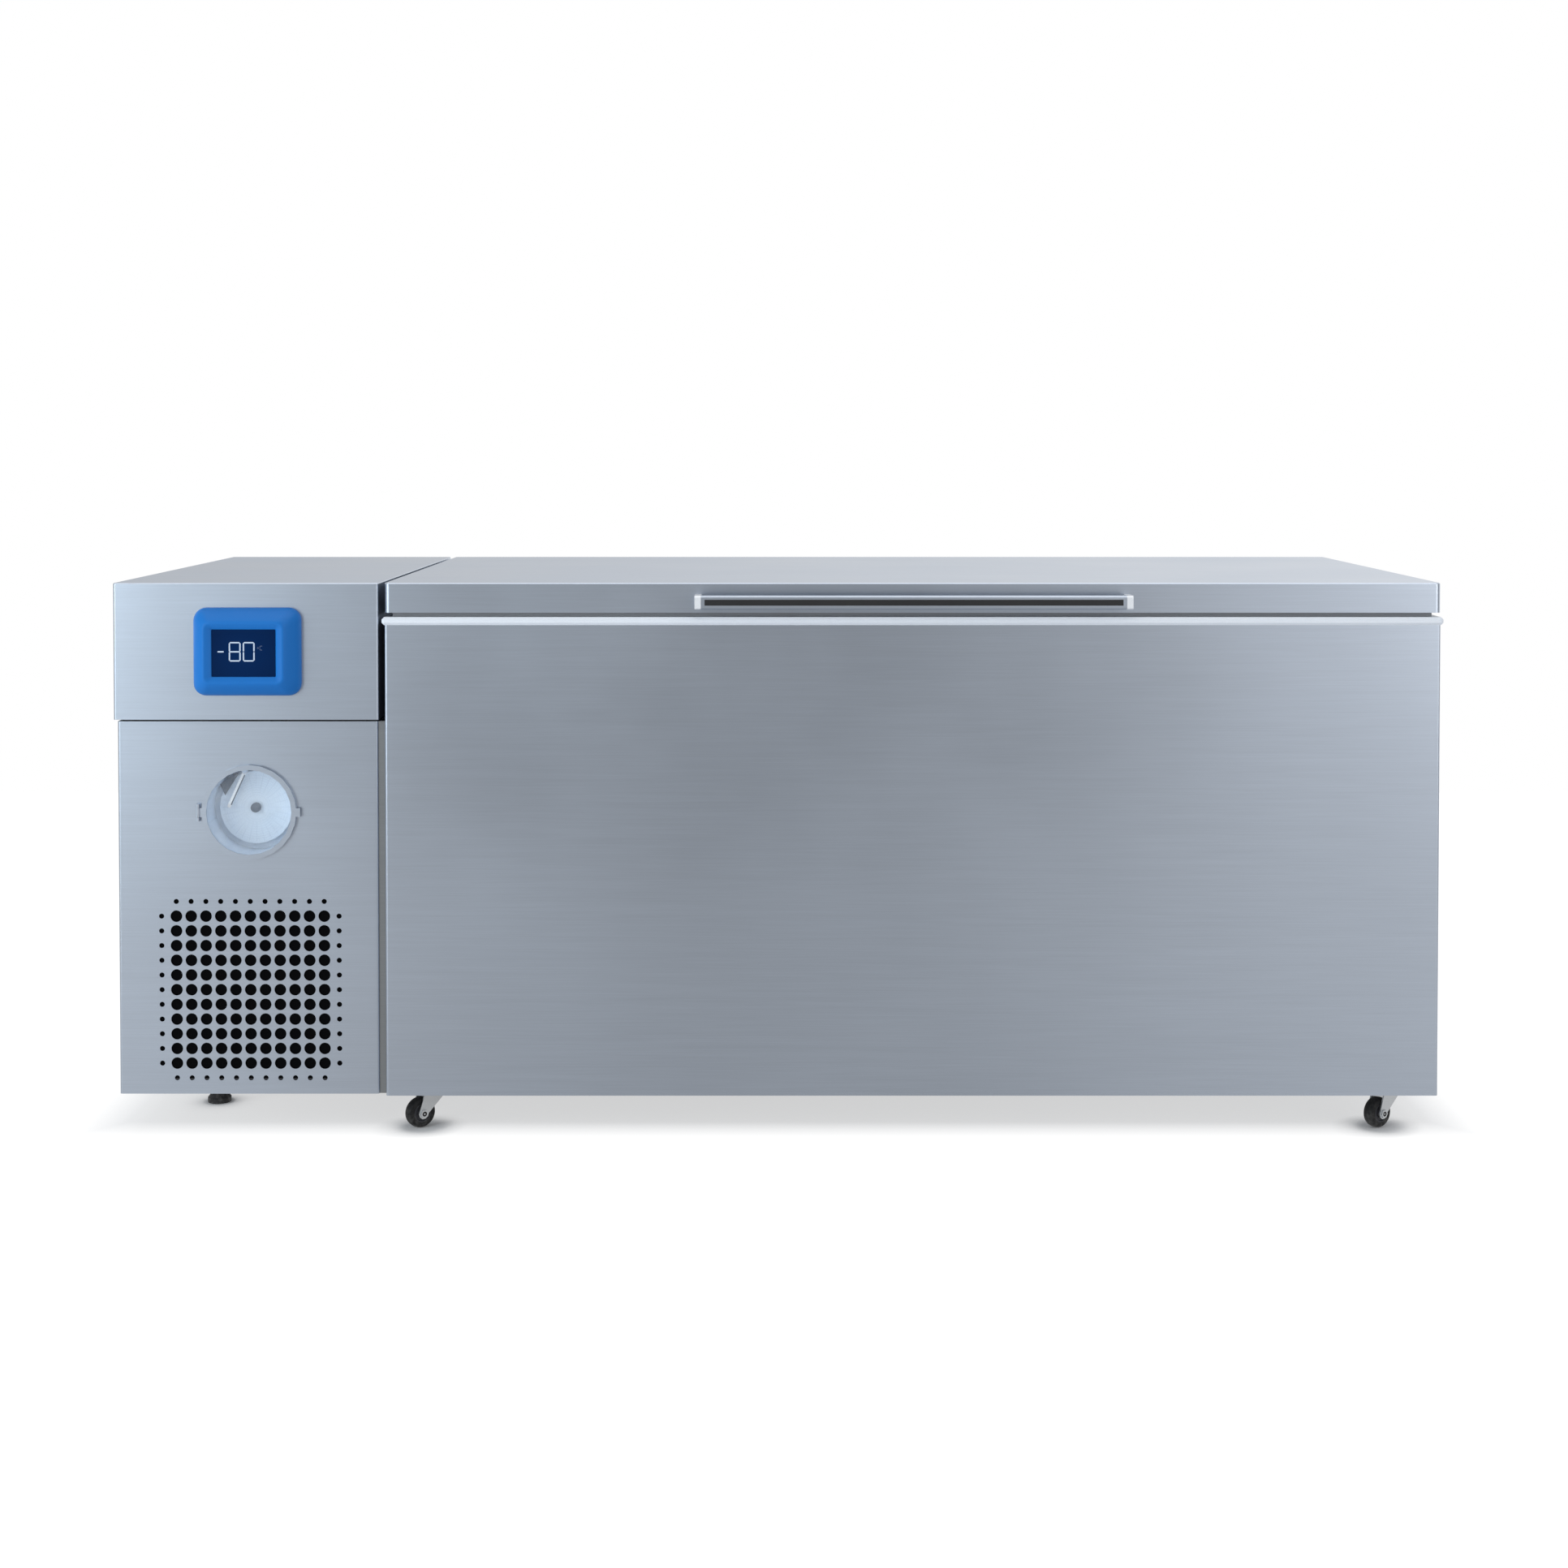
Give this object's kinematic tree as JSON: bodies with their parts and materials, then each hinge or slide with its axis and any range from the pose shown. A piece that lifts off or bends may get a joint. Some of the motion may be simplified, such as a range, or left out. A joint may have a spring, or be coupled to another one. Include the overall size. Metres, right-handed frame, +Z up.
{
  "type": "ultra low temperature chest freezer",
  "caption": "Stainless steel ultra low temperature chest freezer on casters with a hinged lid, a machine compartment, a blue display and a round chart recorder.",
  "frame": {"origin": "on the floor under the centre of the freezer's box", "axes": "+X to the right along the chest, +Y to the rear, +Z up; the handle side faces -Y"},
  "size_m": [2.146, 0.9096, 0.904],
  "materials": {
    "stainless_sheet": "brushed",
    "galvanised_sheet": "satin",
    "rigid_foam": "matte",
    "liner_steel": "satin",
    "copper_tube": "satin",
    "white_plastic": "satin",
    "black_rubber": "matte",
    "satin_bar": "brushed",
    "black_grip": "satin",
    "polished_metal": "polished",
    "hinge_steel": "satin",
    "zinc_steel": "satin",
    "dark_deck": "matte",
    "filter_foam": "matte",
    "fin_aluminium": "satin",
    "motor_black": "satin",
    "fan_plastic": "matte",
    "jacket_foam": "matte",
    "galvanised_box": "satin",
    "blue_plastic": "gloss",
    "screen_glass": "gloss",
    "module_plastic": "matte",
    "recorder_plastic": "satin",
    "ring_metal": "brushed",
    "clear_window": "gloss",
    "chart_paper": "matte",
    "knob_plastic": "satin",
    "pen_metal": "satin",
    "inlet_plastic": "matte",
    "rocker_plastic": "gloss",
    "foot_rubber": "matte",
    "caster_tyre": "matte"
  },
  "bodies": {
    "cabinet": {"chest_front_panel": "stainless_sheet", "chest_left_panel": "stainless_sheet", "chest_right_panel": "stainless_sheet", "chest_rear_panel": "galvanised_sheet", "chest_floor_pan": "galvanised_sheet", "chest_insulation": "rigid_foam", "inner_liner": "liner_steel", "evaporator_coil": "copper_tube", "breaker_collar": "white_plastic", "hinge_body_leaves": "hinge_steel", "caster_plates": "zinc_steel", "machine_front_panel": "stainless_sheet", "machine_left_panel": "stainless_sheet", "machine_right_panel": "stainless_sheet", "machine_rear_panel": "galvanised_sheet", "machine_base_tray": "galvanised_sheet", "machine_deck": "dark_deck", "hood": "stainless_sheet", "joining_spacers": "zinc_steel", "air_filter": "filter_foam", "condenser": "fin_aluminium", "fan_shroud": "dark_deck", "fan_motor": "motor_black", "high_stage_compressor": "motor_black", "low_stage_compressor": "motor_black", "compressor_grommets": "black_rubber", "cascade_exchanger": "jacket_foam", "refrigerant_lines": "copper_tube", "control_box": "galvanised_box", "display_bezel": "blue_plastic", "display_screen": "screen_glass", "display_module": "module_plastic", "recorder_case": "recorder_plastic", "recorder_motor": "module_plastic", "mains_inlet": "inlet_plastic"},
    "lid": {"lid_pan": "stainless_sheet", "lid_insulation": "rigid_foam", "lid_liner": "liner_steel", "lid_gasket": "black_rubber", "handle_bar": "satin_bar", "handle_grip": "black_grip", "handle_posts": "polished_metal", "hinge_lid_leaves": "hinge_steel"},
    "front_left_swivel": {"front_left_fork": "zinc_steel"},
    "front_left_roller": {"front_left_wheel": "caster_tyre"},
    "front_right_swivel": {"front_right_fork": "zinc_steel"},
    "front_right_roller": {"front_right_wheel": "caster_tyre"},
    "rear_left_swivel": {"rear_left_fork": "zinc_steel"},
    "rear_left_roller": {"rear_left_wheel": "caster_tyre"},
    "rear_right_swivel": {"rear_right_fork": "zinc_steel"},
    "rear_right_roller": {"rear_right_wheel": "caster_tyre"},
    "fan": {"fan_blade": "fan_plastic"},
    "front_levelling_foot": {"front_foot": "foot_rubber"},
    "rear_levelling_foot": {"rear_foot": "foot_rubber"},
    "rocker": {"power_rocker": "rocker_plastic"},
    "recorder_door": {"recorder_door_ring": "ring_metal", "recorder_window": "clear_window"},
    "chart": {"recorder_chart": "chart_paper", "recorder_hub": "knob_plastic"},
    "pen": {"recorder_pen": "pen_metal"}
  },
  "joints": [
    {"name": "lid_hinge", "type": "hinge", "parent": "cabinet", "child": "lid", "pos_m": [0.21675, 0.44725, 0.852], "axis": [-1, 0, 0], "range_deg": [0, 85]},
    {"name": "front_left_swivel_turn", "type": "hinge", "parent": "cabinet", "child": "front_left_swivel", "pos_m": [-0.5735, -0.32475, 0.054], "axis": [0, 0, 1], "continuous": true},
    {"name": "front_left_wheel_roll", "type": "hinge", "parent": "front_left_swivel", "child": "front_left_roller", "pos_m": [-0.59152, -0.33737, 0.025], "axis": [-0.5736, 0.8192, 0], "continuous": true},
    {"name": "front_right_swivel_turn", "type": "hinge", "parent": "cabinet", "child": "front_right_swivel", "pos_m": [1.007, -0.32475, 0.054], "axis": [0, 0, 1], "continuous": true},
    {"name": "front_right_wheel_roll", "type": "hinge", "parent": "front_right_swivel", "child": "front_right_roller", "pos_m": [0.98898, -0.33737, 0.025], "axis": [-0.5736, 0.8192, 0], "continuous": true},
    {"name": "rear_left_swivel_turn", "type": "hinge", "parent": "cabinet", "child": "rear_left_swivel", "pos_m": [-0.5735, 0.35325, 0.054], "axis": [0, 0, 1], "continuous": true},
    {"name": "rear_left_wheel_roll", "type": "hinge", "parent": "rear_left_swivel", "child": "rear_left_roller", "pos_m": [-0.59152, 0.34063, 0.025], "axis": [-0.5736, 0.8192, 0], "continuous": true},
    {"name": "rear_right_swivel_turn", "type": "hinge", "parent": "cabinet", "child": "rear_right_swivel", "pos_m": [1.007, 0.35325, 0.054], "axis": [0, 0, 1], "continuous": true},
    {"name": "rear_right_wheel_roll", "type": "hinge", "parent": "rear_right_swivel", "child": "rear_right_roller", "pos_m": [0.98898, 0.34063, 0.025], "axis": [-0.5736, 0.8192, 0], "continuous": true},
    {"name": "fan_spin", "type": "hinge", "parent": "cabinet", "child": "fan", "pos_m": [-0.8565, -0.30735, 0.235], "axis": [0, 1, 0], "continuous": true},
    {"name": "front_foot_turn", "type": "hinge", "parent": "cabinet", "child": "front_levelling_foot", "pos_m": [-0.959, -0.18275, 0.016], "axis": [0, 0, 1], "continuous": true},
    {"name": "rear_foot_turn", "type": "hinge", "parent": "cabinet", "child": "rear_levelling_foot", "pos_m": [-0.959, 0.34925, 0.016], "axis": [0, 0, 1], "continuous": true},
    {"name": "rocker_press", "type": "hinge", "parent": "cabinet", "child": "rocker", "pos_m": [-0.98, 0.42875, 0.574], "axis": [-1, 0, 0], "range_deg": [0, 18]},
    {"name": "recorder_door_hinge", "type": "hinge", "parent": "cabinet", "child": "recorder_door", "pos_m": [-0.9385, -0.40615, 0.532], "axis": [0, 0, -1], "range_deg": [0, 110]},
    {"name": "chart_turn", "type": "hinge", "parent": "cabinet", "child": "chart", "pos_m": [-0.8565, -0.34875, 0.532], "axis": [0, 1, 0], "continuous": true},
    {"name": "pen_swing", "type": "hinge", "parent": "cabinet", "child": "pen", "pos_m": [-0.8725, -0.35875, 0.593], "axis": [0, -1, 0], "range_deg": [-12, 25]}
  ]
}
